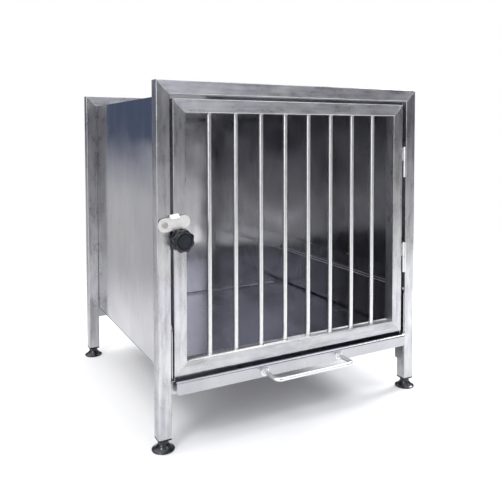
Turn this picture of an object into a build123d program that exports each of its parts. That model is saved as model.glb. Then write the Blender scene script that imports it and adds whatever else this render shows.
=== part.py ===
from build123d import *
import os

# Kennel cage: a square-tube front frame and rear frame in stainless steel, joined by a sheet
# cabin, with a barred door, a slide-out floor tray and four levelling feet.
# Millimetres. X runs along the front, left to right, Y runs from the door to the back and
# Z is up. The origin is the middle of the cage's outline, handle included, on the floor.

# Driving dimensions -------------------------------------------------------------------

cage_width = 600
cage_depth = 550
cage_height = 665

tube = 25                # square tube, side
tube_wall = 1.2
tube_corner = 1.8        # outside corner radius
sheet = 1.0              # cabin and tray sheet thickness
angle_wall = 1.5         # folded angle thickness

foot_height = 23         # floor to the end of a leg
foot_base_radius = 21
foot_travel = 15         # how far a foot unscrews
foot_end_gap = 0.2       # between a foot and its socket when it is screwed home
stud_radius = 4
running_gap = 0.05       # radial play of a shaft in its hole

rail_bottom = 101        # underside of both bottom rails
cabin_bottom = 127       # lower edge of the side panels
panel_lap = 13           # how far the side panels lap over the legs
back_lap = 6             # how far the back panel laps over the rear bottom rail

door_gap_left = 5.5
door_gap_right = 10.5
door_bottom = 132.5
door_height = 500
bar_count = 8
bar_radius = 4.5

barrel_radius = 4.5
barrel_length = 33       # one of the two knuckles of a hinge
barrel_forward = 1.5     # hinge axis in front of the frame's face
hinge_pin_radius = 2.5
hinge_bases = {"lower": 264.5, "upper": 474.5}
knuckle_gap = 0.4
pin_end_cover = 5        # solid metal beyond each end of a hinge pin
weld_depth = 2.5         # web that joins a knuckle to its tube
weld_inset = 2           # web's ends, from the ends of the knuckle

latch_height = 409       # latch pivot above the floor
latch_tilt = 7.3         # degrees the closed plate rises to the right
latch_reach = 36.5       # between the centres of the plate's round ends
latch_thickness = 2
latch_standoff = 2
pivot_hole_radius = 3.1
pivot_shank_radius = 3
pivot_end_radius = 12.5  # round end of the plate at the pivot
latch_end_radius = 11.7  # round end over the door
tab_start = 10.5         # thumb tab, along the plate from the pivot
tab_width = 16
tab_rise = 19            # fold of the tab above the plate's axis
tab_length = 14.5
tab_corner = 3
tab_slope = 42           # degrees the tab falls below level
tab_fold_radius = 2.2

knob_height = 380.5
knob_radius = 22
knob_lobes = 8
knob_grip = 14.5         # depth of the lobed part
knob_face_radius = 17
knob_cap_radius = 12.6
spindle_radius = 4
bush_radius = 6
rose_radius = 20
rose_thickness = 4.5
cam_thickness = 3
cam_standoff = 7         # door's inner face to the back of the cam
cam_arm = 10
keeper_reach = 10
keeper_height = 30

tray_floor = 126.2       # underside of the tray
tray_depth = 530         # lip to back hem
tray_lip_reach = 12      # lip in front of the frame's face
tray_lip_height = 24
tray_lip_bend = 4        # outside radius of the bend above the lip
tray_hem = 3
handle_spacing = 175
handle_projection = 47   # lip to the middle of the grip
handle_rod_radius = 4
handle_bend = 11
handle_drop = 1.5        # handle below the middle of the lip
handle_screw_radius = 2

grid_rail_bottom = 231
grid_rail_height = 38
grid_ledge = 14
guide_shelf = 21         # width of the shelf that the tray slides on
guide_front = 1.5        # liner behind the frame's face
guide_corner = 16        # radius of the liner's top front corner
guide_foot_bottom = 63   # lower end of the foot plate by the front leg

socket_flange = 3
socket_depth = 22
stud_bottom = 5
stud_top = 40
foot_neck_radius = 10
foot_neck_bottom = 13    # where the cone of a foot ends
foot_rim_height = 3

# Places worked out from them ----------------------------------------------------------

x_left = -cage_width / 2
x_right = cage_width / 2
leg_overhang = foot_base_radius - tube / 2
front_reach = tray_lip_reach + handle_projection + handle_rod_radius
y_front = front_reach - (front_reach + cage_depth + leg_overhang) / 2
y_back = y_front + cage_depth
z_top = cage_height
rail_top = rail_bottom + tube
z_roof = z_top - tube    # top of the roof sheet, under the top rails

inner_left = x_left + tube
inner_right = x_right - tube
door_left = inner_left + door_gap_left
door_right = inner_right - door_gap_right
door_top = door_bottom + door_height
stile_x = door_left + tube / 2
hinge_x = (door_right + inner_right) / 2
hinge_y = y_front - barrel_forward
tray_left = door_left
tray_right = door_right
tray_centre = (tray_left + tray_right) / 2
tray_top = tray_floor + sheet
lip_face = y_front - tray_lip_reach
handle_z = tray_top - tray_lip_height / 2 - handle_drop
pivot_x = x_left + tube / 2
knob_back = y_front - rose_thickness - 0.5
cam_back = y_front + tube + cam_standoff

LEG_PLACES = {
    "front_left": (x_left + tube / 2, y_front + tube / 2),
    "front_right": (x_right - tube / 2, y_front + tube / 2),
    "rear_left": (x_left + tube / 2, y_back - tube / 2),
    "rear_right": (x_right - tube / 2, y_back - tube / 2),
}


# Helpers ------------------------------------------------------------------------------

def save(name, shape):
    shape.label = name
    export_step(shape, f"parts/{name}.step")


def block(x0, x1, y0, y1, z0, z1):
    """A box between two corners."""
    middle = Pos((x0 + x1) / 2, (y0 + y1) / 2, (z0 + z1) / 2)
    return middle * Box(x1 - x0, y1 - y0, z1 - z0)


def rod_y(x, z, radius, y0, y1):
    """A cylinder along Y, from y0 to y1."""
    return Pos(x, (y0 + y1) / 2, z) * Rot(90, 0, 0) * Cylinder(radius, y1 - y0)


def rod_z(x, y, radius, z0, z1):
    """A cylinder along Z, from z0 to z1."""
    return Pos(x, y, (z0 + z1) / 2) * Cylinder(radius, z1 - z0)


def tube_profile():
    hollow = tube - 2 * tube_wall
    outside = RectangleRounded(tube, tube, tube_corner)
    inside = RectangleRounded(hollow, hollow, tube_corner - tube_wall)
    return outside - inside


def upright(x, y, z0, z1):
    return Pos(x, y, z0) * extrude(tube_profile(), z1 - z0)


def rail(x0, x1, y, z):
    return Pos(x0, y, z) * Rot(0, 90, 0) * extrude(tube_profile(), x1 - x0)


def mitre(piece, corner_x, corner_z, side_x, side_z):
    """Cuts a tube at 45 degrees through a corner of its frame and keeps the named side."""
    plane = Plane(origin=(corner_x, 0, corner_z), z_dir=(side_x, 0, side_z))
    return split(piece, bisect_by=plane, keep=Keep.TOP)


# Frames -------------------------------------------------------------------------------

def leg(place):
    """A leg, mitred at the top where it meets its top rail."""
    x, y = LEG_PLACES[place]
    outward = -1 if x < 0 else 1
    corner = x_left if x < 0 else x_right
    piece = mitre(upright(x, y, foot_height, z_top), corner, z_top, outward, -1)
    if place == "front_left":
        piece -= rod_y(pivot_x, latch_height, pivot_shank_radius, y_front - 1, y_front + 5)
    return piece


def top_rail(y):
    piece = rail(x_left, x_right, y, z_top - tube / 2)
    piece = mitre(piece, x_left, z_top, 1, 1)
    return mitre(piece, x_right, z_top, -1, 1)


def bottom_rail(y):
    return rail(inner_left, inner_right, y, rail_bottom + tube / 2)


# Cabin --------------------------------------------------------------------------------

def side_panel(outer_x, inner_x):
    """A sheet welded to the inner faces of a front and a rear leg, under the roof's edge."""
    y0 = y_front + panel_lap
    y1 = y_back - panel_lap
    return block(outer_x, inner_x, y0, y1, cabin_bottom, z_roof - sheet)


def roof_panel():
    y0 = y_front + panel_lap
    y1 = y_back - panel_lap
    return block(inner_left, inner_right, y0, y1, z_roof - sheet, z_roof)


def back_panel():
    """It laps the rear bottom rail and closes the cabin between the side panels."""
    y1 = y_back - tube
    x0 = inner_left + sheet
    x1 = inner_right - sheet
    return block(x0, x1, y1 - sheet, y1, rail_top - back_lap, z_roof - sheet)


def mirrored(shape):
    """The same piece on the other side of the cage."""
    return mirror(shape, about=Plane.YZ)


def left_tray_guide():
    """A folded liner along the wall, with a shelf that the tray slides on.

    The liner runs forward over the bottom rail into the gap beside the door, where its top
    corner is rounded. A foot plate below it is welded to the front leg.
    """
    plate_front = y_front + 4
    y0 = y_front + tube
    y1 = y_back - tube - sheet
    x0 = inner_left
    shelf_bottom = rail_top - angle_wall
    shelf = block(x0, x0 + guide_shelf, y0, y1, shelf_bottom, rail_top)
    liner_x = x0 + sheet
    liner_front = y_front + guide_front
    liner = block(liner_x, liner_x + angle_wall, liner_front, y1, rail_top, grid_rail_bottom)
    corner = liner.edges().filter_by(Axis.X).group_by(Axis.Y)[0].sort_by(Axis.Z)[-1]
    liner = fillet(corner, guide_corner)
    tail = block(x0, x0 + angle_wall, y0, y0 + 4, guide_foot_bottom, shelf_bottom)
    plate = block(x0, x0 + angle_wall, plate_front, y0 + 4, guide_foot_bottom, rail_bottom)
    return shelf + liner + tail + plate


def left_grid_rail():
    """A folded angle along the wall, with a ledge for a raised floor grid."""
    y0 = y_front + tube + 6
    y1 = y_back - tube - sheet
    x0 = inner_left + sheet
    z0 = grid_rail_bottom
    wall = block(x0, x0 + angle_wall, y0, y1, z0, z0 + grid_rail_height)
    ledge = block(x0, x0 + grid_ledge, y0, y1, z0, z0 + angle_wall)
    return wall + ledge


# Door ---------------------------------------------------------------------------------

def door_stile(x, corner_x, outward):
    piece = upright(x, y_front + tube / 2, door_bottom, door_top)
    piece = mitre(piece, corner_x, door_top, outward, -1)
    return mitre(piece, corner_x, door_bottom, outward, 1)


def door_left_stile():
    """The latch stile, bored for the bush that carries the knob's spindle."""
    bore = rod_y(stile_x, knob_height, bush_radius, y_front - 1, y_front + tube + 1)
    return door_stile(stile_x, door_left, -1) - bore


def door_right_stile():
    return door_stile(door_right - tube / 2, door_right, 1)


def door_rail(z, corner_z, upward):
    piece = rail(door_left, door_right, y_front + tube / 2, z)
    piece = mitre(piece, door_left, corner_z, 1, upward)
    return mitre(piece, door_right, corner_z, -1, upward)


def door_bar(number):
    """One round bar. The clear gaps between bars and frame are all the same."""
    opening = door_right - door_left - 2 * tube
    gap = (opening - 2 * bar_radius * bar_count) / (bar_count + 1)
    x = door_left + tube + gap + bar_radius + (number - 1) * (gap + 2 * bar_radius)
    return rod_z(x, y_front + tube / 2, bar_radius, door_bottom + tube, door_top - tube)


# Hinges -------------------------------------------------------------------------------

def frame_knuckle(base):
    """The lower half of a lift-off hinge, welded to the leg, with the pin's seat."""
    body = rod_z(hinge_x, hinge_y, barrel_radius, base, base + barrel_length)
    web = block(hinge_x, inner_right, y_front + 0.5, y_front + 0.5 + weld_depth,
                base + weld_inset, base + barrel_length - weld_inset)
    seat = rod_z(hinge_x, hinge_y, hinge_pin_radius, base + pin_end_cover,
                 base + barrel_length + 1)
    return body + web - seat


def door_knuckle(base):
    """The upper half, welded to the door, which turns on the pin."""
    z0 = base + barrel_length + knuckle_gap
    z1 = z0 + barrel_length
    body = rod_z(hinge_x, hinge_y, barrel_radius, z0, z1)
    web = block(door_right, hinge_x, y_front + 0.5, y_front + 0.5 + weld_depth,
                z0 + weld_inset, z1 - weld_inset)
    bore = rod_z(hinge_x, hinge_y, hinge_pin_radius + running_gap, z0 - 1, z1 - pin_end_cover + 1)
    return body + web - bore


def hinge_pins():
    pins = []
    for base in hinge_bases.values():
        z1 = base + 2 * barrel_length + knuckle_gap - pin_end_cover
        pins.append(rod_z(hinge_x, hinge_y, hinge_pin_radius, base + pin_end_cover, z1))
    return Compound(children=pins)


# Swing latch --------------------------------------------------------------------------

def latch_plate():
    """A pill-shaped plate with a thumb tab folded out of its upper edge."""
    ends = Circle(pivot_end_radius) + Pos(latch_reach, 0) * Circle(latch_end_radius)
    outline = make_hull(ends.edges())
    plate = extrude(outline, latch_thickness)
    hole = Cylinder(pivot_hole_radius, 20)
    middle = latch_thickness / 2
    fold = Vector(0, tab_rise, middle)
    tip = fold + Vector(0, -tab_length, 0).rotate(Axis.X, -(90 - tab_slope))
    path = FilletPolyline((0, 6, middle), fold, tip, radius=tab_fold_radius)
    section = Plane(origin=(0, 6, middle), z_dir=(0, 1, 0), x_dir=(1, 0, 0))
    strip = sweep(section * Rectangle(tab_width, latch_thickness), path=path)
    front_corners = strip.faces().sort_by(Axis.Z)[-1].edges().sort_by(SortBy.LENGTH)[:2]
    strip = fillet(front_corners, tab_corner)
    strip = Pos(tab_start + tab_width / 2, 0, 0) * strip
    piece = plate + strip - hole
    stand = Plane(origin=(pivot_x, y_front - latch_standoff, latch_height), z_dir=(0, -1, 0),
                  x_dir=(1, 0, 0))
    return stand * Rot(0, 0, latch_tilt) * piece


def latch_spacer():
    """The washer that holds the plate off the leg."""
    ring = rod_y(pivot_x, latch_height, 7, y_front - latch_standoff, y_front)
    hole = rod_y(pivot_x, latch_height, pivot_shank_radius, y_front - 5, y_front + 1)
    return ring - hole


def latch_screw():
    """A slotted dome-head screw, tapped into the leg's wall."""
    head_radius = 5.6
    head_height = 2.8
    slot_width = 1.3
    face = y_front - latch_standoff - latch_thickness - 0.1
    shank = rod_y(pivot_x, latch_height, pivot_shank_radius, face, y_front + tube_wall + 3)
    head = rod_y(pivot_x, latch_height, head_radius, face - head_height, face)
    rim = head.edges().filter_by(GeomType.CIRCLE).sort_by(Axis.Y)[0]
    head = fillet(rim, 1.8)
    slot = Box(2 * head_radius + 1, 1.4, slot_width)
    slot = Pos(pivot_x, face - head_height, latch_height) * Rot(0, 35, 0) * slot
    return shank + head - slot


# Knob and cam -------------------------------------------------------------------------

def knob_rose():
    """A round plate behind the knob. The latch plate rests on its rim."""
    disc = rod_y(stile_x, knob_height, rose_radius, y_front - rose_thickness, y_front)
    rim = disc.edges().filter_by(GeomType.CIRCLE).sort_by(Axis.Y)[0]
    disc = fillet(rim, 1)
    return disc - rod_y(stile_x, knob_height, bush_radius, y_front - 9, y_front + 1)


def spindle_bush():
    """The sleeve that carries the knob's spindle through the stile."""
    y0 = y_front - rose_thickness
    y1 = y_front + tube + 1
    sleeve = rod_y(stile_x, knob_height, bush_radius, y0, y1)
    bore = rod_y(stile_x, knob_height, spindle_radius + running_gap, y0 - 1, y1 + 1)
    return sleeve - bore


def knob():
    """A lobed hand knob with a raised ring round a sunk cap."""
    scallop_radius = 15
    valley = knob_radius - 2.4
    grip = Circle(knob_radius)
    grip -= PolarLocations(valley + scallop_radius, knob_lobes) * Circle(scallop_radius)
    grip = fillet(grip.vertices(), 2.2)
    body = extrude(grip, knob_grip)
    body = fillet(body.faces().sort_by(Axis.Z)[-1].edges(), 2)
    body = chamfer(body.faces().sort_by(Axis.Z)[0].edges(), 1)
    ring = Pos(0, 0, knob_grip + 1) * Cylinder(knob_face_radius, 4)
    ring = fillet(ring.edges().filter_by(GeomType.CIRCLE).sort_by(Axis.Z)[-1], 1.4)
    cap_seat = Pos(0, 0, knob_grip + 3) * Cylinder(knob_cap_radius + 0.2, 2.4)
    spindle_seat = Pos(0, 0, 5) * Cylinder(spindle_radius, 12)
    piece = body + ring - cap_seat - spindle_seat
    stand = Plane(origin=(stile_x, knob_back, knob_height), z_dir=(0, -1, 0), x_dir=(1, 0, 0))
    return stand * Rot(0, 0, 4) * piece


def knob_cap():
    seat = knob_back - knob_grip - 1.8
    disc = rod_y(stile_x, knob_height, knob_cap_radius, seat - 0.9, seat)
    return fillet(disc.edges().filter_by(GeomType.CIRCLE).sort_by(Axis.Y)[0], 0.4)


def knob_spindle():
    """Runs from the knob through the stile to the cam."""
    y0 = knob_back - 11
    return rod_y(stile_x, knob_height, spindle_radius, y0, cam_back + 4)


def latch_cam():
    """The arm on the spindle's inner end. Closed, it lies behind the keeper."""
    arm = Circle(6) + Pos(-cam_arm, 0) * Circle(4)
    arm = extrude(make_hull(arm.edges()), cam_thickness)
    arm -= Cylinder(spindle_radius, 20)
    stand = Plane(origin=(stile_x, cam_back, knob_height), z_dir=(0, -1, 0), x_dir=(1, 0, 0))
    return stand * arm


def cam_nut():
    nut = extrude(RegularPolygon(6.5, 6), 4) - Cylinder(spindle_radius, 20)
    stand = Plane(origin=(stile_x, cam_back + 4, knob_height), z_dir=(0, -1, 0), x_dir=(1, 0, 0))
    return stand * nut


def cam_keeper():
    """A folded bracket on the side panel, just behind the door's edge."""
    x0 = inner_left + sheet
    y0 = y_front + tube + 1
    z0 = knob_height - keeper_height / 2
    z1 = knob_height + keeper_height / 2
    face = block(x0, x0 + keeper_reach, y0, y0 + 2, z0, z1)
    foot = block(x0, x0 + 2, y0, y0 + 22, z0, z1)
    return face + foot


# Tray ---------------------------------------------------------------------------------

def handle_ends():
    return (tray_centre - handle_spacing / 2, tray_centre + handle_spacing / 2)


def tray_pan():
    """A flat sheet with low hems and a lip that hangs in front of the bottom rail."""
    y1 = lip_face + tray_depth
    floor = block(tray_left, tray_right, lip_face, y1, tray_floor, tray_top)
    lip_bottom = tray_top - tray_lip_height
    lip = block(tray_left, tray_right, lip_face, lip_face + sheet, lip_bottom, tray_top)
    lip = fillet(lip.edges().filter_by(Axis.Y).group_by(Axis.Z)[0], 6)
    pan = floor + lip
    for x0 in (tray_left, tray_right - 2):
        pan += block(x0, x0 + 2, y_front + 3, y1, tray_top, tray_top + tray_hem)
    pan += block(tray_left, tray_right, y1 - 2, y1, tray_top, tray_top + tray_hem)
    for y, z, radius in (
        (lip_face + sheet, tray_floor, tray_lip_bend - sheet),
        (lip_face, tray_top, tray_lip_bend),
    ):
        bend = pan.edges().filter_by(Axis.X).sort_by_distance((tray_centre, y, z))[0]
        pan = fillet(bend, radius)
    for x in handle_ends():
        pan -= rod_y(x, handle_z, handle_screw_radius, lip_face - 2, lip_face + 2)
    return pan


def tray_handle():
    """A round rod bent to a U, with a tapped hole in each end."""
    left, right = handle_ends()
    reach = lip_face - handle_projection
    path = FilletPolyline((left, lip_face, handle_z), (left, reach, handle_z),
                          (right, reach, handle_z), (right, lip_face, handle_z),
                          radius=handle_bend)
    section = Plane(origin=(left, lip_face, handle_z), z_dir=(0, -1, 0))
    rod = sweep(section * Circle(handle_rod_radius), path=path)
    for x in handle_ends():
        rod -= rod_y(x, handle_z, handle_screw_radius, lip_face - 10, lip_face + 1)
    return rod


def handle_collars():
    """A flared collar round each end of the handle."""
    collars = []
    for x in handle_ends():
        profile = Polyline((handle_rod_radius, 0), (8.5, 0), (8.5, 1.2), (6.4, 1.8),
                           (5.2, 5.5), (handle_rod_radius, 5.5), close=True)
        ring = revolve(make_face(Plane.XZ * profile), Axis.Z)
        stand = Plane(origin=(x, lip_face, handle_z), z_dir=(0, -1, 0), x_dir=(1, 0, 0))
        collars.append(stand * ring)
    return Compound(children=collars)


def handle_screws():
    """The screws that hold the handle from behind the lip."""
    screws = []
    for x in handle_ends():
        back = lip_face + sheet
        shank = rod_y(x, handle_z, handle_screw_radius, back - 9, back)
        head = rod_y(x, handle_z, 3.6, back, back + 2.4)
        screws.append(shank + head)
    return Compound(children=screws)


# Feet ---------------------------------------------------------------------------------

def foot_socket(place):
    """The plastic plug in the end of a leg, threaded for the stud."""
    x, y = LEG_PLACES[place]
    z0 = foot_height - socket_flange
    plug_side = tube - 2 * tube_wall
    flange = extrude(RectangleRounded(tube, tube, tube_corner), socket_flange)
    plug_outline = RectangleRounded(plug_side, plug_side, tube_corner - tube_wall)
    plug = Pos(0, 0, socket_flange) * extrude(plug_outline, socket_depth)
    hole = Cylinder(stud_radius + running_gap, 100)
    return Pos(x, y, z0) * (flange + plug - hole)


def foot_stud(place):
    x, y = LEG_PLACES[place]
    return rod_z(x, y, stud_radius, stud_bottom, stud_top)


def foot_base(place):
    """A round plastic base: a thin rim, a hollow-sided cone and a neck, moulded on the stud."""
    x, y = LEG_PLACES[place]
    rim = foot_base_radius
    neck = foot_neck_radius
    top = foot_height - socket_flange - foot_end_gap
    with BuildPart() as base:
        with BuildSketch(Plane.XZ):
            with BuildLine():
                Polyline((0, 0), (rim - 1, 0), (rim, 1), (rim, foot_rim_height - 1),
                         (rim - 1, foot_rim_height))
                TangentArc((rim - 1, foot_rim_height), (neck, foot_neck_bottom), tangent=(-1, 0.45))
                Polyline((neck, foot_neck_bottom), (neck, top - 1), (neck - 1, top), (0, top),
                         (0, 0))
            make_face()
        revolve(axis=Axis.Z)
    hole = rod_z(0, 0, stud_radius, stud_bottom, stud_top)
    return Pos(x, y, 0) * (base.part - hole)


# Every piece --------------------------------------------------------------------------

def main():
    os.makedirs("parts", exist_ok=True)
    front_y = y_front + tube / 2
    rear_y = y_back - tube / 2
    for place in LEG_PLACES:
        save(f"{place}_leg", leg(place))
        save(f"{place}_foot_socket", foot_socket(place))
        save(f"{place}_foot_stud", foot_stud(place))
        save(f"{place}_foot_base", foot_base(place))
    save("front_top_rail", top_rail(front_y))
    save("front_bottom_rail", bottom_rail(front_y))
    save("rear_top_rail", top_rail(rear_y))
    save("rear_bottom_rail", bottom_rail(rear_y))
    save("left_side_panel", side_panel(inner_left, inner_left + sheet))
    save("right_side_panel", side_panel(inner_right - sheet, inner_right))
    save("roof_panel", roof_panel())
    save("back_panel", back_panel())
    save("left_tray_guide", left_tray_guide())
    save("right_tray_guide", mirrored(left_tray_guide()))
    save("left_grid_rail", left_grid_rail())
    save("right_grid_rail", mirrored(left_grid_rail()))

    save("door_left_stile", door_left_stile())
    save("door_right_stile", door_right_stile())
    save("door_top_rail", door_rail(door_top - tube / 2, door_top, 1))
    save("door_bottom_rail", door_rail(door_bottom + tube / 2, door_bottom, -1))
    for number in range(1, bar_count + 1):
        save(f"door_bar_{number}", door_bar(number))
    for name, base in hinge_bases.items():
        save(f"{name}_hinge_frame_knuckle", frame_knuckle(base))
        save(f"{name}_hinge_door_knuckle", door_knuckle(base))
    save("hinge_pins", hinge_pins())

    save("latch_plate", latch_plate())
    save("latch_spacer", latch_spacer())
    save("latch_screw", latch_screw())
    save("knob_rose", knob_rose())
    save("spindle_bush", spindle_bush())
    save("knob", knob())
    save("knob_cap", knob_cap())
    save("knob_spindle", knob_spindle())
    save("latch_cam", latch_cam())
    save("cam_nut", cam_nut())
    save("cam_keeper", cam_keeper())

    save("tray_pan", tray_pan())
    save("tray_handle", tray_handle())
    save("handle_collars", handle_collars())
    save("handle_screws", handle_screws())


main()
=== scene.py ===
import math
import re

import bpy
from mathutils import Euler, Matrix, Vector, noise


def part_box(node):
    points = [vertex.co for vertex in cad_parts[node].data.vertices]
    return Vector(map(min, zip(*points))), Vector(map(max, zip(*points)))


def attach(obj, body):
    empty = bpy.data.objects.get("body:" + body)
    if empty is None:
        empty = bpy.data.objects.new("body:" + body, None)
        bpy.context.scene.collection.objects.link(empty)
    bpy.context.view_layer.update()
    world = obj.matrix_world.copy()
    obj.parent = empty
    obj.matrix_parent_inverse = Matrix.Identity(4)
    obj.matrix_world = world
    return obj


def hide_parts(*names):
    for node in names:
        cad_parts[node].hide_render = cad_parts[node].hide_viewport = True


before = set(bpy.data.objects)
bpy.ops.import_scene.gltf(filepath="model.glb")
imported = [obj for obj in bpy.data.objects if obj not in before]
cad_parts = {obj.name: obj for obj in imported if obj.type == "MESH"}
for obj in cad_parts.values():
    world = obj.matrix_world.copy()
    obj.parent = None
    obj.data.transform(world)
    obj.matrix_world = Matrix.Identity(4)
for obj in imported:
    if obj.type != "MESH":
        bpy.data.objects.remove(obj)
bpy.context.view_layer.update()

# Places read from the frame, in metres -------------------------------------------------

LEG_LOW, LEG_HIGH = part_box("front_left_leg")
RIGHT_LEG_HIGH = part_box("front_right_leg")[1]
REAR_LEG_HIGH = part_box("rear_left_leg")[1]
DOOR_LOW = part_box("door_bottom_rail")[0]
DOOR_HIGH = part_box("door_top_rail")[1]
BOTTOM_RAIL_LOW, BOTTOM_RAIL_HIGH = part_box("front_bottom_rail")

TUBE = LEG_HIGH.x - LEG_LOW.x
X_LEFT, X_RIGHT = LEG_LOW.x, RIGHT_LEG_HIGH.x
Y_FRONT, Y_BACK = LEG_LOW.y, REAR_LEG_HIGH.y
Z_TOP = LEG_HIGH.z
MM = 0.001

FEET = ("front_left", "front_right", "rear_left", "rear_right")
BARS = [name for name in sorted(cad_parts) if name.startswith("door_bar_")]

# The camera, from the front left leg's outer corner at the floor
CAMERA_OFFSET = Vector((-0.3440, -0.9857, 0.5688))
CAMERA_YAW, CAMERA_PITCH, CAMERA_ROLL = 28.208, 2.482, -0.089
CAMERA_LENS = 42.653
CAMERA_SHIFT = -0.18


# Node helpers ----------------------------------------------------------------------------

class Graph:
    """Adds linked nodes to one node tree."""

    def __init__(self, tree):
        self.tree = tree
        tree.nodes.clear()

    def add(self, kind, inputs=None, **settings):
        made = self.tree.nodes.new(kind)
        for key, value in settings.items():
            setattr(made, key, value)
        for key, value in (inputs or {}).items():
            self.feed(made.inputs[key], value)
        return made

    def feed(self, socket, value):
        if isinstance(value, bpy.types.NodeSocket):
            self.tree.links.new(value, socket)
        else:
            socket.default_value = value

    def math(self, operation, a, b=0.0, c=0.0):
        made = self.add("ShaderNodeMath", {0: a, 1: b, 2: c}, operation=operation)
        return made.outputs[0]

    def vector(self, operation, a, b=(0, 0, 0)):
        made = self.add("ShaderNodeVectorMath", {0: a, 1: b}, operation=operation)
        return made.outputs["Value" if operation in ("DOT_PRODUCT", "LENGTH") else "Vector"]

    def place(self, scale=(1, 1, 1), location=(0, 0, 0), rotation=(0, 0, 0)):
        """Coordinates in the object's own frame, which is the cage's on every piece of it."""
        source = self.add("ShaderNodeTexCoord").outputs["Object"]
        settings = {"Vector": source, "Scale": scale, "Location": location, "Rotation": rotation}
        return self.add("ShaderNodeMapping", settings).outputs[0]

    def noise(self, vector, scale=1.0, detail=3.0, roughness=0.5, distortion=0.0):
        inputs = {"Vector": vector, "Scale": scale, "Detail": detail, "Roughness": roughness,
                  "Distortion": distortion}
        return self.add("ShaderNodeTexNoise", inputs).outputs["Fac"]

    def ramp(self, factor, stops):
        made = self.add("ShaderNodeValToRGB", {"Fac": factor})
        elements = made.color_ramp.elements
        while len(elements) < len(stops):
            elements.new(0.5)
        for element, (position, colour) in zip(elements, stops):
            element.position = position
            element.color = (*colour, 1.0)
        return made.outputs["Color"]

    def spread(self, value, low, high, to_low=0.0, to_high=1.0, smooth=False):
        """Maps low..high to to_low..to_high, clamped."""
        inputs = {"Value": value, "From Min": low, "From Max": high, "To Min": to_low,
                  "To Max": to_high}
        made = self.add("ShaderNodeMapRange", inputs, clamp=True)
        made.interpolation_type = "SMOOTHSTEP" if smooth else "LINEAR"
        return made.outputs[0]

    def mix(self, factor, a, b, blend="MIX"):
        made = self.add("ShaderNodeMix", data_type="RGBA", blend_type=blend)
        for socket, value in ((made.inputs[0], factor), (made.inputs[6], a), (made.inputs[7], b)):
            if isinstance(value, tuple) and len(value) == 3:
                value = (*value, 1.0)
            self.feed(socket, value)
        return made.outputs[2]

    def bump(self, height, strength, distance, normal=None):
        inputs = {"Height": height, "Strength": strength, "Distance": distance}
        if normal is not None:
            inputs["Normal"] = normal
        return self.add("ShaderNodeBump", inputs).outputs[0]


def new_material(name):
    material = bpy.data.materials.new(name)
    material.use_nodes = True
    graph = Graph(material.node_tree)
    shader = graph.add("ShaderNodeBsdfPrincipled")
    output = graph.add("ShaderNodeOutputMaterial")
    graph.tree.links.new(shader.outputs[0], output.inputs[0])
    return material, graph, shader


# Camera and studio -----------------------------------------------------------------------

def make_camera():
    data = bpy.data.cameras.new("camera")
    camera = bpy.data.objects.new("camera", data)
    bpy.context.scene.collection.objects.link(camera)
    camera.location = Vector((X_LEFT, Y_FRONT, 0)) + CAMERA_OFFSET
    turn = Euler((math.radians(90 - CAMERA_PITCH), 0, math.radians(-CAMERA_YAW)))
    roll = Matrix.Rotation(math.radians(CAMERA_ROLL), 3, "Z")
    camera.rotation_euler = (turn.to_matrix() @ roll).to_euler()
    data.lens = CAMERA_LENS
    data.sensor_width = 36
    data.shift_y = CAMERA_SHIFT
    bpy.context.scene.camera = camera


# How bright the room is at each height, from straight down at 0 to straight up at 1
SKY_STOPS = (
    (0.00, (0.64, 0.64, 0.65)),
    (0.445, (0.59, 0.59, 0.60)),
    (0.475, (0.33, 0.33, 0.36)),
    (0.495, (0.07, 0.07, 0.09)),
    (0.56, (0.035, 0.035, 0.045)),
    (0.68, (0.08, 0.08, 0.095)),
    (0.82, (0.80, 0.80, 0.83)),
    (1.00, (1.30, 1.30, 1.32)),
)
# Azimuth and elevation, inner and outer radius in degrees, and colour, of each soft patch of light
SKY_GLOWS = (
    (200, 74, 18, 48, (1.30, 1.30, 1.31)),
    (17, 10, 3, 9, (0.90, 0.91, 0.98)),
    (23, 23, 6, 14, (1.05, 1.07, 1.20)),
    (-29, 27, 7, 13, (1.45, 1.50, 1.72)),
    (-76, 6, 14, 42, (1.02, 1.02, 1.03)),
    (-160, 14, 6, 22, (0.04, 0.07, 0.13)),
    (-166.5, 8, 1.5, 3.5, (0.60, 0.64, 0.70)),
    (32, -36, 16, 42, (0.42, 0.42, 0.41)),
    (52, 42, 6, 13, (2.60, 2.80, 3.20)),
)
SKY_RIPPLE = 0.10


def glow(graph, direction, azimuth, elevation, inner, outer, colour):
    """A round soft patch of light in the sky. Azimuth 0 is towards -Y and 90 towards +X."""
    a, e = math.radians(azimuth), math.radians(elevation)
    centre = (math.sin(a) * math.cos(e), -math.cos(a) * math.cos(e), math.sin(e))
    facing = graph.vector("DOT_PRODUCT", direction, centre)
    edge, core = math.cos(math.radians(outer)), math.cos(math.radians(inner))
    share = graph.spread(facing, edge, core, smooth=True)
    return graph.mix(share, (0, 0, 0), colour)


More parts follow.
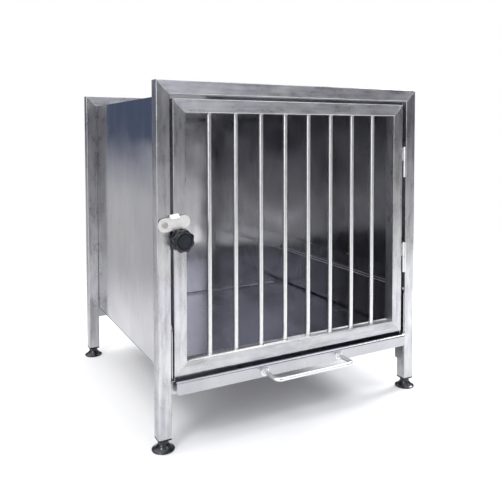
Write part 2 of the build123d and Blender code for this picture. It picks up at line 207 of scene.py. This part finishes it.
def make_world():
    """A dim room with a bright ceiling. The camera itself sees plain white."""
    world = bpy.data.worlds.new("studio")
    bpy.context.scene.world = world
    world.use_nodes = True
    graph = Graph(world.node_tree)
    direction = graph.add("ShaderNodeTexCoord").outputs["Generated"]
    height = graph.add("ShaderNodeSeparateXYZ", {0: direction}).outputs["Z"]
    ripple = graph.noise(direction, scale=2.3, detail=2.0)
    height = graph.math("MULTIPLY_ADD", graph.math("SUBTRACT", ripple, 0.5), SKY_RIPPLE, height)
    colour = graph.ramp(graph.math("MULTIPLY_ADD", height, 0.5, 0.5), SKY_STOPS)
    for place in SKY_GLOWS:
        colour = graph.mix(1.0, colour, glow(graph, direction, *place), "ADD")
    room = graph.add("ShaderNodeBackground", {"Color": colour, "Strength": 1.0})
    plain = graph.add("ShaderNodeBackground", {"Color": (1, 1, 1, 1), "Strength": 1.0})
    seen = graph.add("ShaderNodeLightPath").outputs["Is Camera Ray"]
    both = graph.add("ShaderNodeMixShader", {0: seen, 1: room.outputs[0], 2: plain.outputs[0]})
    output = graph.add("ShaderNodeOutputWorld")
    graph.tree.links.new(both.outputs[0], output.inputs[0])


FLOOR_CENTRE = (0.6, -0.35, 0)
FLOOR_RADIUS = 2.1
FLOOR_FADE_START = 0.65


def make_floor():
    """A round pale floor, its top at the feet, that fades out towards its rim."""
    steps = 96
    points = [(0, 0, 0)]
    for n in range(steps):
        a = 2 * math.pi * n / steps
        points.append((FLOOR_RADIUS * math.cos(a), FLOOR_RADIUS * math.sin(a), 0))
    faces = [(0, n + 1, (n + 1) % steps + 1) for n in range(steps)]
    mesh = bpy.data.meshes.new("floor")
    mesh.from_pydata(points, [], faces)
    floor = bpy.data.objects.new("floor", mesh)
    floor.location = FLOOR_CENTRE
    bpy.context.scene.collection.objects.link(floor)
    material, graph, shader = new_material("pale_floor")
    clouds = graph.noise(graph.place(), 1.5)
    tone = graph.ramp(clouds, ((0, (0.82, 0.82, 0.825)), (1, (0.86, 0.86, 0.86))))
    graph.feed(shader.inputs["Base Color"], tone)
    shader.inputs["Roughness"].default_value = 0.8
    shader.inputs["Specular IOR Level"].default_value = 0.2
    away = graph.vector("LENGTH", graph.place())
    fade = graph.spread(away, FLOOR_FADE_START, FLOOR_RADIUS, smooth=True)
    clear = graph.add("ShaderNodeBsdfTransparent")
    both = graph.add("ShaderNodeMixShader", {0: fade, 1: shader.outputs[0], 2: clear.outputs[0]})
    graph.tree.links.new(both.outputs[0], graph.tree.nodes["Material Output"].inputs[0])
    mesh.materials.append(material)


# Name, place, width and height, and power in watts
SOFTBOXES = (
    ("key_softbox", (2.25, 0.15, 2.1), (0.9, 0.9), 58),
    ("door_softbox", (-2.35, -1.55, 1.35), (0.8, 1.2), 14),
    ("rim_softbox", (-1.55, -1.15, 2.15), (0.55, 0.55), 16),
)
LIGHT_TARGET = Vector((0, 0, 0.3))


def make_lights():
    """A key softbox high on the right, one that shines through the door, and a rim light."""
    for name, place, size, power in SOFTBOXES:
        data = bpy.data.lights.new(name, "AREA")
        data.shape = "RECTANGLE"
        data.size, data.size_y = size
        data.energy = power
        light = bpy.data.objects.new(name, data)
        bpy.context.scene.collection.objects.link(light)
        light.location = place
        aim = LIGHT_TARGET - light.location
        light.rotation_euler = aim.to_track_quat("-Z", "Y").to_euler()


# Metals ------------------------------------------------------------------------------------

FRAME_CORNERS = [(x, Z_TOP) for x in (X_LEFT, X_RIGHT)]
DOOR_CORNERS = [(x, z) for x in (DOOR_LOW.x, DOOR_HIGH.x) for z in (DOOR_LOW.z, DOOR_HIGH.z)]


def stretched(graph, axis, across, along, detail=3.0, roughness=0.55, shift=0.0):
    """Noise drawn out along one axis: across and along are features per metre."""
    scale = [across] * 3
    scale["XYZ".index(axis)] = along
    return graph.noise(graph.place(tuple(scale), (shift, shift, shift)), 1.0, detail, roughness)


def near_corners(graph, corners, reach):
    """From 1 at the mitred corners of a frame to 0 at reach from them."""
    flat = graph.vector("MULTIPLY", graph.place(), (1, 0, 1))
    nearest = None
    for x, z in corners:
        away = graph.vector("LENGTH", graph.vector("SUBTRACT", flat, (x, 0, z)))
        nearest = away if nearest is None else graph.math("MINIMUM", nearest, away)
    return graph.spread(nearest, 0.0, reach, 1.0, 0.0)


def upper_faces(graph):
    """1 on the faces that look up and 0 on the rest."""
    facing = graph.add("ShaderNodeTexCoord").outputs["Normal"]
    upward = graph.add("ShaderNodeSeparateXYZ", {0: facing}).outputs["Z"]
    return graph.spread(upward, 0.75, 0.95)


def satin_tube(name, axis, corners, painted_top_highlight=False):
    """Ground stainless tube: long grinding lines, mottled passes, dressed weld corners.

    The upper faces of the door's rails get a painted highlight: their colour is pushed near white, and
    they are made rougher.
    """
    material, graph, shader = new_material(name)
    lines = stretched(graph, axis, across=1300, along=14, detail=4.0, roughness=0.6)
    streaks = stretched(graph, axis, across=150, along=7, roughness=0.5, shift=3.1)
    mottle = stretched(graph, axis, across=62, along=21, detail=4.0, roughness=0.62, shift=7.7)
    clouds = graph.noise(graph.place(), 9.0, 2.0)
    patches = graph.spread(graph.noise(graph.place(), 120.0, 4.0, 0.7), 0.35, 0.65)
    dressed = graph.math("MULTIPLY", near_corners(graph, corners, 0.055), patches)
    tone = graph.math("ADD", graph.math("MULTIPLY", mottle, 0.62), graph.math("MULTIPLY", streaks, 0.38))
    greys = ((0.34, (0.36, 0.355, 0.37)), (0.50, (0.52, 0.52, 0.525)), (0.66, (0.63, 0.635, 0.63)))
    colour = graph.ramp(tone, greys)
    tint = graph.ramp(clouds, ((0.35, (0.96, 0.95, 1.0)), (0.65, (0.99, 1.0, 0.99))))
    colour = graph.mix(1.0, colour, tint, "MULTIPLY")
    colour = graph.mix(graph.math("MULTIPLY", dressed, 0.30), colour, (0.78, 0.78, 0.80))
    rough = graph.math("MULTIPLY_ADD", mottle, 0.18, 0.20)
    rough = graph.math("MULTIPLY_ADD", dressed, 0.12, rough)
    if painted_top_highlight:
        # Painted highlight: faces that look up are coloured near white; the extra roughness is a real
        # frosted finish.
        rubbed = upper_faces(graph)
        colour = graph.mix(rubbed, colour, (0.95, 0.95, 0.95))
        rough = graph.math("MULTIPLY_ADD", rubbed, 0.42, rough)
    graph.feed(shader.inputs["Base Color"], colour)
    graph.feed(shader.inputs["Roughness"], rough)
    height = graph.math("MULTIPLY_ADD", lines, 0.4, graph.math("MULTIPLY", mottle, 0.6))
    normal = graph.bump(height, 0.30, 0.0006)
    graph.feed(shader.inputs["Normal"], graph.bump(dressed, 0.25, 0.0006, normal))
    shader.inputs["Metallic"].default_value = 1.0
    shader.inputs["Anisotropic"].default_value = 0.72
    shader.inputs["Anisotropic Rotation"].default_value = 0.0 if axis == "Z" else 0.25
    tangent = graph.add("ShaderNodeTangent", direction_type="RADIAL", axis="Z")
    graph.feed(shader.inputs["Tangent"], tangent.outputs[0])
    return material


def mirror_sheet(name, dark, light, waviness=1.0, rough=0.06, painted_top_sheen=False):
    """Polished sheet: slow waves that bend what it mirrors, hairline scratches and smears.

    The upper faces of the tray are painted paler, a painted highlight.
    """
    material, graph, shader = new_material(name)
    waves = graph.noise(graph.place((2.4, 2.4, 3.4)), detail=1.5, roughness=0.4, distortion=0.6)
    ripples = graph.noise(graph.place((7, 7, 10)), detail=2.0)
    smears = graph.noise(graph.place((14, 14, 6)), detail=4.0, roughness=0.65, distortion=0.8)
    upright = graph.spread(stretched(graph, "Z", 700, 9, 2.0, 0.5), 0.64, 0.72)
    tilted_place = graph.place((900, 900, 12), rotation=(0.5, 0.35, 0.1))
    tilted = graph.spread(graph.noise(tilted_place, detail=2.0), 0.66, 0.74)
    scratches = graph.math("ADD", upright, tilted)
    colour = graph.ramp(smears, ((0.30, dark), (0.70, light)))
    if painted_top_sheen:
        # Painted highlight: faces that look up are mixed towards a pale grey.
        colour = graph.mix(graph.math("MULTIPLY", upper_faces(graph), 0.7), colour, (0.58, 0.58, 0.62))
    graph.feed(shader.inputs["Base Color"], colour)
    roughness = graph.math("MULTIPLY_ADD", graph.spread(smears, 0.35, 0.75), 0.10, rough)
    roughness = graph.math("MULTIPLY_ADD", scratches, 0.10, roughness)
    graph.feed(shader.inputs["Roughness"], roughness)
    normal = graph.bump(waves, 0.5, 0.012 * waviness)
    normal = graph.bump(ripples, 0.35, 0.0014 * waviness, normal)
    normal = graph.bump(scratches, 0.10, 0.0001, normal)
    graph.feed(shader.inputs["Normal"], normal)
    shader.inputs["Metallic"].default_value = 1.0
    return material


def worn_steel(name, dark, light, rough, axis="Z", across=900, along=30):
    """Bright drawn or pressed stainless with faint lines, handling marks and dull spots."""
    material, graph, shader = new_material(name)
    lines = stretched(graph, axis, across, along, 3.0, 0.55)
    spots = graph.noise(graph.place(), 160.0, 4.0, 0.7)
    tone = graph.math("MULTIPLY_ADD", spots, 0.5, graph.math("MULTIPLY", lines, 0.5))
    colour = graph.ramp(tone, ((0.32, dark), (0.60, light)))
    graph.feed(shader.inputs["Base Color"], colour)
    roughness = graph.math("MULTIPLY_ADD", spots, 0.11, rough)
    roughness = graph.math("MULTIPLY_ADD", lines, 0.08, roughness)
    graph.feed(shader.inputs["Roughness"], roughness)
    normal = graph.bump(lines, 0.15, 0.0002)
    graph.feed(shader.inputs["Normal"], graph.bump(spots, 0.10, 0.0004, normal))
    shader.inputs["Metallic"].default_value = 1.0
    return material


def weld_metal(name):
    """A weld bead: rippled, dull silver with straw and blue heat tint."""
    material, graph, shader = new_material(name)
    heat = graph.noise(graph.place(), 140.0, 3.0, 0.6)
    silver = ((0.30, (0.42, 0.41, 0.45)), (0.48, (0.66, 0.65, 0.66)))
    heat_tint = ((0.60, (0.60, 0.56, 0.50)), (0.72, (0.46, 0.48, 0.56)))
    graph.feed(shader.inputs["Base Color"], graph.ramp(heat, silver + heat_tint))
    grain = graph.noise(graph.place(), 900.0, 3.0)
    graph.feed(shader.inputs["Roughness"], graph.spread(grain, 0.3, 0.7, 0.26, 0.46))
    graph.feed(shader.inputs["Normal"], graph.bump(grain, 0.3, 0.0003))
    shader.inputs["Metallic"].default_value = 1.0
    return material


# Plastics ----------------------------------------------------------------------------------

def moulded_plastic(name, dark, light, rough, grain, coat=0.0):
    """Moulded black plastic: a spark-eroded grain and rubbed patches."""
    material, graph, shader = new_material(name)
    texture = graph.noise(graph.place(), grain, 3.0, 0.6)
    rubbed = graph.noise(graph.place(), 70.0, 3.0, 0.6)
    graph.feed(shader.inputs["Base Color"], graph.ramp(rubbed, ((0.35, dark), (0.70, light))))
    roughness = graph.math("MULTIPLY_ADD", graph.spread(rubbed, 0.3, 0.7), 0.14, rough)
    graph.feed(shader.inputs["Roughness"], roughness)
    graph.feed(shader.inputs["Normal"], graph.bump(texture, 0.35, 0.00025))
    shader.inputs["Specular IOR Level"].default_value = 0.32
    shader.inputs["Coat Weight"].default_value = coat
    shader.inputs["Coat Roughness"].default_value = 0.12
    return material


# Meshes ------------------------------------------------------------------------------------

def new_piece(name, vertices, faces, material, body):
    """A smooth-shaded mesh that rides on a body."""
    mesh = bpy.data.meshes.new(name)
    mesh.from_pydata([tuple(v) for v in vertices], [], faces)
    mesh.materials.append(material)
    mesh.shade_smooth()
    piece = bpy.data.objects.new(name, mesh)
    bpy.context.scene.collection.objects.link(piece)
    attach(piece, body)
    return piece


class Bead:
    """Gathers closed beads, rings and drops of weld, and round edges, into one mesh."""

    def __init__(self):
        self.vertices = []
        self.faces = []

    def run(self, start, end, out, half_width, height, seed):
        """A flattened bead from start to end on a face whose normal is out."""
        start, end, out = Vector(start), Vector(end), Vector(out).normalized()
        along = (end - start).normalized()
        side = out.cross(along)
        rows = max(6, int((end - start).length / (0.7 * MM)))
        round_points = 10
        first = len(self.vertices)
        for row in range(rows + 1):
            share = row / rows
            taper = min(1.0, 8 * share + 0.15, 8 * (1 - share) + 0.15)
            centre = start.lerp(end, share)
            wobble = noise.noise(centre * 260 + Vector((seed, 0, 0)))
            ripple = 1 + 0.16 * math.sin(row * 2.2) + 0.25 * wobble
            for k in range(round_points):
                a = 2 * math.pi * k / round_points
                offset = side * (math.cos(a) * half_width * ripple * taper + 0.3 * half_width * wobble)
                offset += out * (math.sin(a) * height * ripple * taper)
                self.vertices.append(centre + offset)
        for row in range(rows):
            for k in range(round_points):
                a = first + row * round_points + k
                b = first + row * round_points + (k + 1) % round_points
                self.faces.append((a, b, b + round_points, a + round_points))
        self.faces.append(tuple(first + k for k in reversed(range(round_points))))
        last = first + rows * round_points
        self.faces.append(tuple(last + k for k in range(round_points)))

    def strip(self, start, end, radius):
        """A straight round edge with domed ends."""
        start, end = Vector(start), Vector(end)
        along = (end - start).normalized()
        side = along.orthogonal().normalized()
        other = along.cross(side)
        stations = [(start, 0.35), (start + along * 0.4 * radius, 0.8), (start + along * radius, 1)]
        stations += [(end - along * radius, 1), (end - along * 0.4 * radius, 0.8), (end, 0.35)]
        first, count = len(self.vertices), 12
        for centre, size in stations:
            for k in range(count):
                a = 2 * math.pi * k / count
                offset = side * math.cos(a) + other * math.sin(a)
                self.vertices.append(centre + offset * radius * size)
        for row in range(len(stations) - 1):
            for k in range(count):
                a = first + row * count + k
                b = first + row * count + (k + 1) % count
                self.faces.append((a, b, b + count, a + count))
        self.faces.append(tuple(first + k for k in reversed(range(count))))
        last = first + (len(stations) - 1) * count
        self.faces.append(tuple(last + k for k in range(count)))

    def ring(self, centre, axis, inner, width, height, seed):
        """A fillet weld round a bar, where it meets a flat face."""
        centre, axis = Vector(centre), Vector(axis).normalized()
        side = axis.orthogonal().normalized()
        other = axis.cross(side)
        steps, section = 40, 8
        first = len(self.vertices)
        for n in range(steps):
            a = 2 * math.pi * n / steps
            outward = side * math.cos(a) + other * math.sin(a)
            wobble = noise.noise(outward * 2.2 + Vector((seed, seed, 0)))
            size = 1 + 0.35 * wobble + 0.10 * math.sin(n * 1.9)
            for k in range(section):
                b = 2 * math.pi * k / section
                radial = inner + 0.35 * width + math.cos(b) * 0.65 * width * size
                rise = math.sin(b) * height * size
                self.vertices.append(centre + outward * radial + axis * rise)
        for n in range(steps):
            for k in range(section):
                a = first + n * section + k
                b = first + n * section + (k + 1) % section
                c = first + (n + 1) % steps * section + (k + 1) % section
                d = first + (n + 1) % steps * section + k
                self.faces.append((a, d, c, b))

    def drop(self, centre, radii, seed):
        """A lump of weld."""
        rows, steps = 9, 14
        first = len(self.vertices)
        for row in range(rows + 1):
            polar = math.pi * row / rows
            for n in range(steps if 0 < row < rows else 1):
                a = 2 * math.pi * n / steps
                flat = Vector((math.cos(a), math.sin(a), 0))
                unit = flat * math.sin(polar) + Vector((0, 0, math.cos(polar)))
                size = 1 + 0.35 * noise.noise(unit * 1.7 + Vector((seed, 0, seed)))
                self.vertices.append(Vector(centre) + Vector([u * r * size for u, r in zip(unit, radii)]))
        for n in range(steps):
            self.faces.append((first, first + 1 + n, first + 1 + (n + 1) % steps))
            last = first + 1 + (rows - 1) * steps
            base = last - steps
            self.faces.append((last, base + (n + 1) % steps, base + n))
            for row in range(rows - 2):
                a = first + 1 + row * steps
                b = a + steps
                m = (n + 1) % steps
                self.faces.append((a + n, b + n, b + m, a + m))

    def piece(self, name, material, body, slot):
        return new_piece(name, self.vertices, self.faces, material, body)


def corner_seams(bead, x, z, inward_x, inward_z, y_near, y_far, reach, seed):
    """The ground mitre seam on the front and the back of one corner of a frame."""
    first, last = 1.6 * MM, reach - 0.4 * MM
    half_width, height = 1.3 * MM, 0.2 * MM
    for n, (y, out) in enumerate(((y_near, -1), (y_far, 1))):
        start = (x + inward_x * first, y, z + inward_z * first)
        end = (x + inward_x * last, y, z + inward_z * last)
        bead.run(start, end, (0, out, 0), half_width, height, seed + n)


def frame_welds(material):
    """The mitres of the two top rails and the ends of the two bottom rails."""
    half_width, height = 0.8 * MM, 0.14 * MM
    seams = Bead()
    for n, (near, far) in enumerate(((Y_FRONT, Y_FRONT + TUBE), (Y_BACK - TUBE, Y_BACK))):
        corner_seams(seams, X_LEFT, Z_TOP, 1, -1, near, far, TUBE, 10 * n)
        corner_seams(seams, X_RIGHT, Z_TOP, -1, -1, near, far, TUBE, 10 * n + 3)
        for x in (X_LEFT + TUBE, X_RIGHT - TUBE):
            for y, out in ((near, -1), (far, 1)):
                low = (x, y, BOTTOM_RAIL_LOW.z + 1 * MM)
                high = (x, y, BOTTOM_RAIL_HIGH.z - 1 * MM)
                seams.run(low, high, (0, out, 0), half_width, height, 20 * n + x)
    seams.piece("frame_weld_seams", material, "frame", "satin_tube")


def door_welds(material):
    """The door's four mitres, and a ring of weld round both ends of each bar."""
    seams = Bead()
    near, far = DOOR_LOW.y, DOOR_HIGH.y
    for n, (x, inward_x) in enumerate(((DOOR_LOW.x, 1), (DOOR_HIGH.x, -1))):
        corner_seams(seams, x, DOOR_LOW.z, inward_x, 1, near, far, TUBE, 40 + n)
        corner_seams(seams, x, DOOR_HIGH.z, inward_x, -1, near, far, TUBE, 50 + n)
    seams.piece("door_weld_seams", material, "door", "satin_tube")
    rings = Bead()
    for n, bar in enumerate(BARS):
        low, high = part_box(bar)
        centre = (low + high) / 2
        radius = (high.x - low.x) / 2
        rings.ring((centre.x, centre.y, low.z), (0, 0, 1), radius, 1.5 * MM, 1.1 * MM, 3 * n)
        rings.ring((centre.x, centre.y, high.z), (0, 0, -1), radius, 1.3 * MM, 0.9 * MM, 3 * n + 1)
    rings.piece("bar_end_welds", material, "door", "bright_bar")


def hinge_welds(material):
    """Fillets along the back of each knuckle, where it is welded to its tube."""
    half_width, height, end_gap = 1.1 * MM, 0.8 * MM, 2.5 * MM
    for name in ("upper", "lower"):
        for side, body in (("frame", "frame"), ("door", "door")):
            low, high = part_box(f"{name}_hinge_{side}_knuckle")
            edge = high.x if side == "frame" else low.x
            bead = Bead()
            x = edge + (-1 if side == "frame" else 1) * 0.9 * MM
            y = Y_FRONT + 0.5 * MM
            start, end = (x, y, low.z + end_gap), (x, y, high.z - end_gap)
            bead.run(start, end, (0, -1, 0), half_width, height, 60 + edge)
            bead.piece(f"{name}_hinge_{side}_weld", material, body, "hinge_steel")


def rail_tacks(material):
    """Tack welds that hold the grid rails and the tray guides to the cabin."""
    tack_radii = Vector((1.2, 4.5, 1.3)) * MM
    corner_radii = Vector((4.2, 2.4, 2.4)) * MM
    upper_corner_radii = Vector((2.0, 2.2, 3.4)) * MM
    tacks = Bead()
    for side in ("left", "right"):
        low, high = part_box(f"{side}_grid_rail")
        wall_x = low.x if side == "left" else high.x
        inward = 1 if side == "left" else -1
        for n, share in enumerate((0.02, 0.35, 0.68)):
            y = low.y + share * (high.y - low.y)
            tacks.drop((wall_x + inward * 2.2 * MM, y, low.z + 38 * MM), tack_radii, n)
        corner = (wall_x + inward * 5 * MM, high.y - 1.2 * MM, low.z + 2.8 * MM)
        tacks.drop(corner, corner_radii, 9)
        upper_corner = (wall_x + inward * 2.5 * MM, high.y - 1.6 * MM, low.z + 7 * MM)
        tacks.drop(upper_corner, upper_corner_radii, 12)
    tacks.piece("rail_tack_welds", material, "frame", "folded_angle")


def ledge_edges(material):
    """The rolled nose and the bend of each ledge: round strips in a pale steel that paints two highlight
    lines along the walls.
    """
    for side, inward in (("left", 1), ("right", -1)):
        low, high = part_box(f"{side}_grid_rail")
        wall_x = low.x if side == "left" else high.x
        nose_x = high.x if side == "left" else low.x
        edges = Bead()
        for x, z, size in (
            (nose_x, low.z + 0.75 * MM, 1.3 * MM),
            (wall_x + inward * 2.0 * MM, low.z + 2.2 * MM, 1.0 * MM),
        ):
            start, end = (x, low.y + 1 * MM, z), (x, high.y - 1 * MM, z)
            edges.strip(start, end, size)
        edges.piece(f"{side}_ledge_edges", material, "frame", "folded_angle")


# The grip's rows from back to front: how far outside the lobed outline, and how far back, in mm
GRIP_ROWS = ((0, 10.0), (0, 5.4), (-0.3, 4.3), (-0.9, 3.5), (-1.9, 3.1), (-2.9, 3.0))
# The face's rows from the ring's foot to the cap: how far outside the cap, and how far back, in mm
RING_ROWS = ((4.6, 2.9), (4.3, 2.4), (3.9, 1.5), (3.3, 0.7), (2.6, 0.2), (2.0, 0.0), (1.6, 0.15),
             (1.3, 0.7))
CAP_RIM_ROWS = ((1.15, 1.4), (0.95, 1.4), (0.75, 0.8), (0.5, 0.6), (0.25, 0.9), (0.1, 2.2))


def lobed_radius(angle, grip):
    """The radius of the knob's lobed outline at one angle, grip being the most."""
    lobes, first_lobe, scallop = 8, math.radians(4), 2.4 * MM
    share = abs((lobes * (angle - first_lobe) / (2 * math.pi) + 0.5) % 1 - 0.5) * 2
    bow = 0.5 * share ** 2 + 0.25 * (1 - math.cos(math.pi * share))
    return grip - scallop * (1 - bow)


def hand_knob(material):
    """The lobed grip, the round-edged ring on its face and the fine ring round its cap."""
    low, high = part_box("knob")
    cap_low, cap_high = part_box("knob_cap")
    centre = (cap_low + cap_high) / 2
    cap_radius = (cap_high.x - cap_low.x) / 2
    grip = (high.x - low.x) / 2
    back_face = (high.y - low.y) / MM
    steps = 160
    angles = [2 * math.pi * n / steps for n in range(steps)]
    rows = []
    for out, back in ((-1.0, back_face), (0, back_face - 1), *GRIP_ROWS):
        rows.append(([lobed_radius(a, grip) + out * MM for a in angles], back))
    for out, back in RING_ROWS + CAP_RIM_ROWS:
        rows.append(([cap_radius + out * MM] * steps, back))
    vertices = []
    for radii, back in rows:
        for a, radius in zip(angles, radii):
            x, z = centre.x + radius * math.cos(a), centre.z + radius * math.sin(a)
            vertices.append((x, low.y + back * MM, z))
    faces = []
    for row in range(len(rows) - 1):
        for n in range(steps):
            a = row * steps + n
            b = row * steps + (n + 1) % steps
            faces.append((a, b, b + steps, a + steps))
    faces.append(tuple(reversed(range(steps))))
    piece = new_piece("hand_knob", vertices, faces, material, "knob")
    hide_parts("knob")


def foot_threads(material):
    """A cut thread on each foot's stud, plain for its last turn."""
    pitch, depth, steps = 1.25 * MM, 0.65 * MM, 28
    plain_end = 1.2 * MM
    profile = ((0.0, 0.0), (0.38, 1.0), (0.62, 1.0))
    width = len(profile)
    for place in FEET:
        body, stud = f"{place}_foot", f"{place}_foot_stud"
        low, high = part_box(stud)
        centre = (low + high) / 2
        outer = (high.x - low.x) / 2
        turns = (high.z - low.z) / pitch
        rows = int(turns * steps)
        vertices, faces = [], []
        for row in range(rows + 1):
            a = 2 * math.pi * row / steps
            base = low.z + row / steps * pitch
            for rise, out in profile:
                z = min(high.z, base + rise * pitch)
                radius = outer - depth * (1 - out)
                if high.z - z < plain_end:
                    radius = min(radius, outer - depth)
                vertices.append((centre.x + radius * math.cos(a), centre.y + radius * math.sin(a), z))
        for row in range(rows):
            for k in range(width - 1):
                a = row * width + k
                faces.append((a, a + width, a + width + 1, a + 1))
        for row in range(rows - steps):
            a = row * width + width - 1
            b = (row + steps) * width
            faces.append((a, a + width, b + width, b))
        piece = new_piece(f"{body}_thread", vertices, faces, material, body)
        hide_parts(stud)


# Finishes of the CAD nodes -------------------------------------------------------------------

# A pattern for the node's name, the kind of material, and its settings. The first match counts.
FINISHES = (
    ("_leg$", satin_tube, ("leg_satin", "Z", FRAME_CORNERS)),
    ("_stile$", satin_tube, ("stile_satin", "Z", DOOR_CORNERS)),
    # True gives the door rails' upper faces a painted highlight
    ("^door_(top|bottom)_rail$", satin_tube, ("door_rail_satin", "X", DOOR_CORNERS, True)),
    ("grid_rail$|tray_guide$|^cam_keeper$", mirror_sheet,
     ("angle_mirror", (0.44, 0.44, 0.46), (0.55, 0.55, 0.57), 0.4, 0.13)),
    ("_rail$", satin_tube, ("rail_satin", "X", FRAME_CORNERS)),
    ("^roof_panel$", mirror_sheet,
     ("roof_mirror", (0.50, 0.50, 0.52), (0.60, 0.60, 0.62), 0.7, 0.12)),
    ("^left_side_panel$", mirror_sheet,
     ("wall_mirror", (0.51, 0.51, 0.53), (0.62, 0.62, 0.64), 1.0, 0.09)),
    # A darker copy of the wall sheet: painted shade on the right wall
    ("^right_side_panel$", mirror_sheet,
     ("shaded_right_wall_mirror", (0.34, 0.34, 0.36), (0.42, 0.42, 0.44), 1.0, 0.09)),
    # A paler copy of the wall sheet: painted light on the back wall
    ("^back_panel$", mirror_sheet,
     ("lit_back_wall_mirror", (0.54, 0.54, 0.56), (0.66, 0.66, 0.68), 1.0, 0.09)),
    # True paints the tray's upper faces paler, a painted highlight
    ("^tray_pan$", mirror_sheet,
     ("tray_satin", (0.40, 0.40, 0.42), (0.48, 0.48, 0.50), 0.35, 0.17, True)),
    ("^door_bar_", worn_steel,
     ("bar_bright", (0.62, 0.62, 0.625), (0.80, 0.80, 0.80), 0.24)),
    ("^tray_handle$|^handle_collars$", worn_steel,
     ("handle_bright", (0.74, 0.74, 0.75), (0.90, 0.90, 0.90), 0.20, "X")),
    ("knuckle", worn_steel,
     ("hinge_turned", (0.62, 0.62, 0.63), (0.80, 0.80, 0.80), 0.20, "X", 900, 900)),
    ("^latch_plate$", worn_steel,
     ("latch_pressed", (0.78, 0.77, 0.74), (0.92, 0.91, 0.89), 0.24, "X", 500, 60)),
    ("_foot_base$", moulded_plastic,
     ("foot_gloss", (0.004, 0.005, 0.008), (0.010, 0.012, 0.018), 0.16, 900, 0.4)),
    ("_foot_socket$", moulded_plastic,
     ("socket_matte", (0.005, 0.005, 0.006), (0.012, 0.012, 0.013), 0.38, 1200)),
    ("^knob$|^knob_rose$", moulded_plastic,
     ("knob_semi_gloss", (0.002, 0.003, 0.006), (0.007, 0.009, 0.015), 0.16, 1100, 0.25)),
    ("^knob_cap$", moulded_plastic,
     ("knob_cap_grain", (0.004, 0.006, 0.010), (0.014, 0.017, 0.025), 0.34, 1600)),
    ("", worn_steel,
     ("fastener_plain", (0.30, 0.29, 0.29), (0.60, 0.59, 0.58), 0.28, "Z", 600, 600)),
)


def dress_nodes():
    """Gives every CAD node its material."""
    finishes = [(pattern, make(*settings)) for pattern, make, settings in FINISHES]
    for name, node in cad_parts.items():
        finish = next(material for pattern, material in finishes if re.search(pattern, name))
        node.data.materials.clear()
        node.data.materials.append(finish)


def main():
    bpy.context.scene.view_settings.view_transform = "Standard"
    make_camera()
    make_world()
    make_floor()
    make_lights()
    dress_nodes()
    weld = weld_metal("weld_bead")
    frame_welds(weld)
    door_welds(weld)
    hinge_welds(weld)
    rail_tacks(weld)
    hand_knob(bpy.data.materials["knob_semi_gloss"])
    # Pale steel for the ledge edges: painted highlight lines
    ledge_highlight_steel = worn_steel("ledge_edge_highlight", (0.80, 0.80, 0.81), (0.93, 0.93, 0.93), 0.30, "Y", 600, 20)
    ledge_edges(ledge_highlight_steel)
    stud_steel = worn_steel("stud_steel", (0.5, 0.5, 0.5), (0.7, 0.7, 0.7), 0.25, "Z", 600, 600)
    foot_threads(stud_steel)


main()
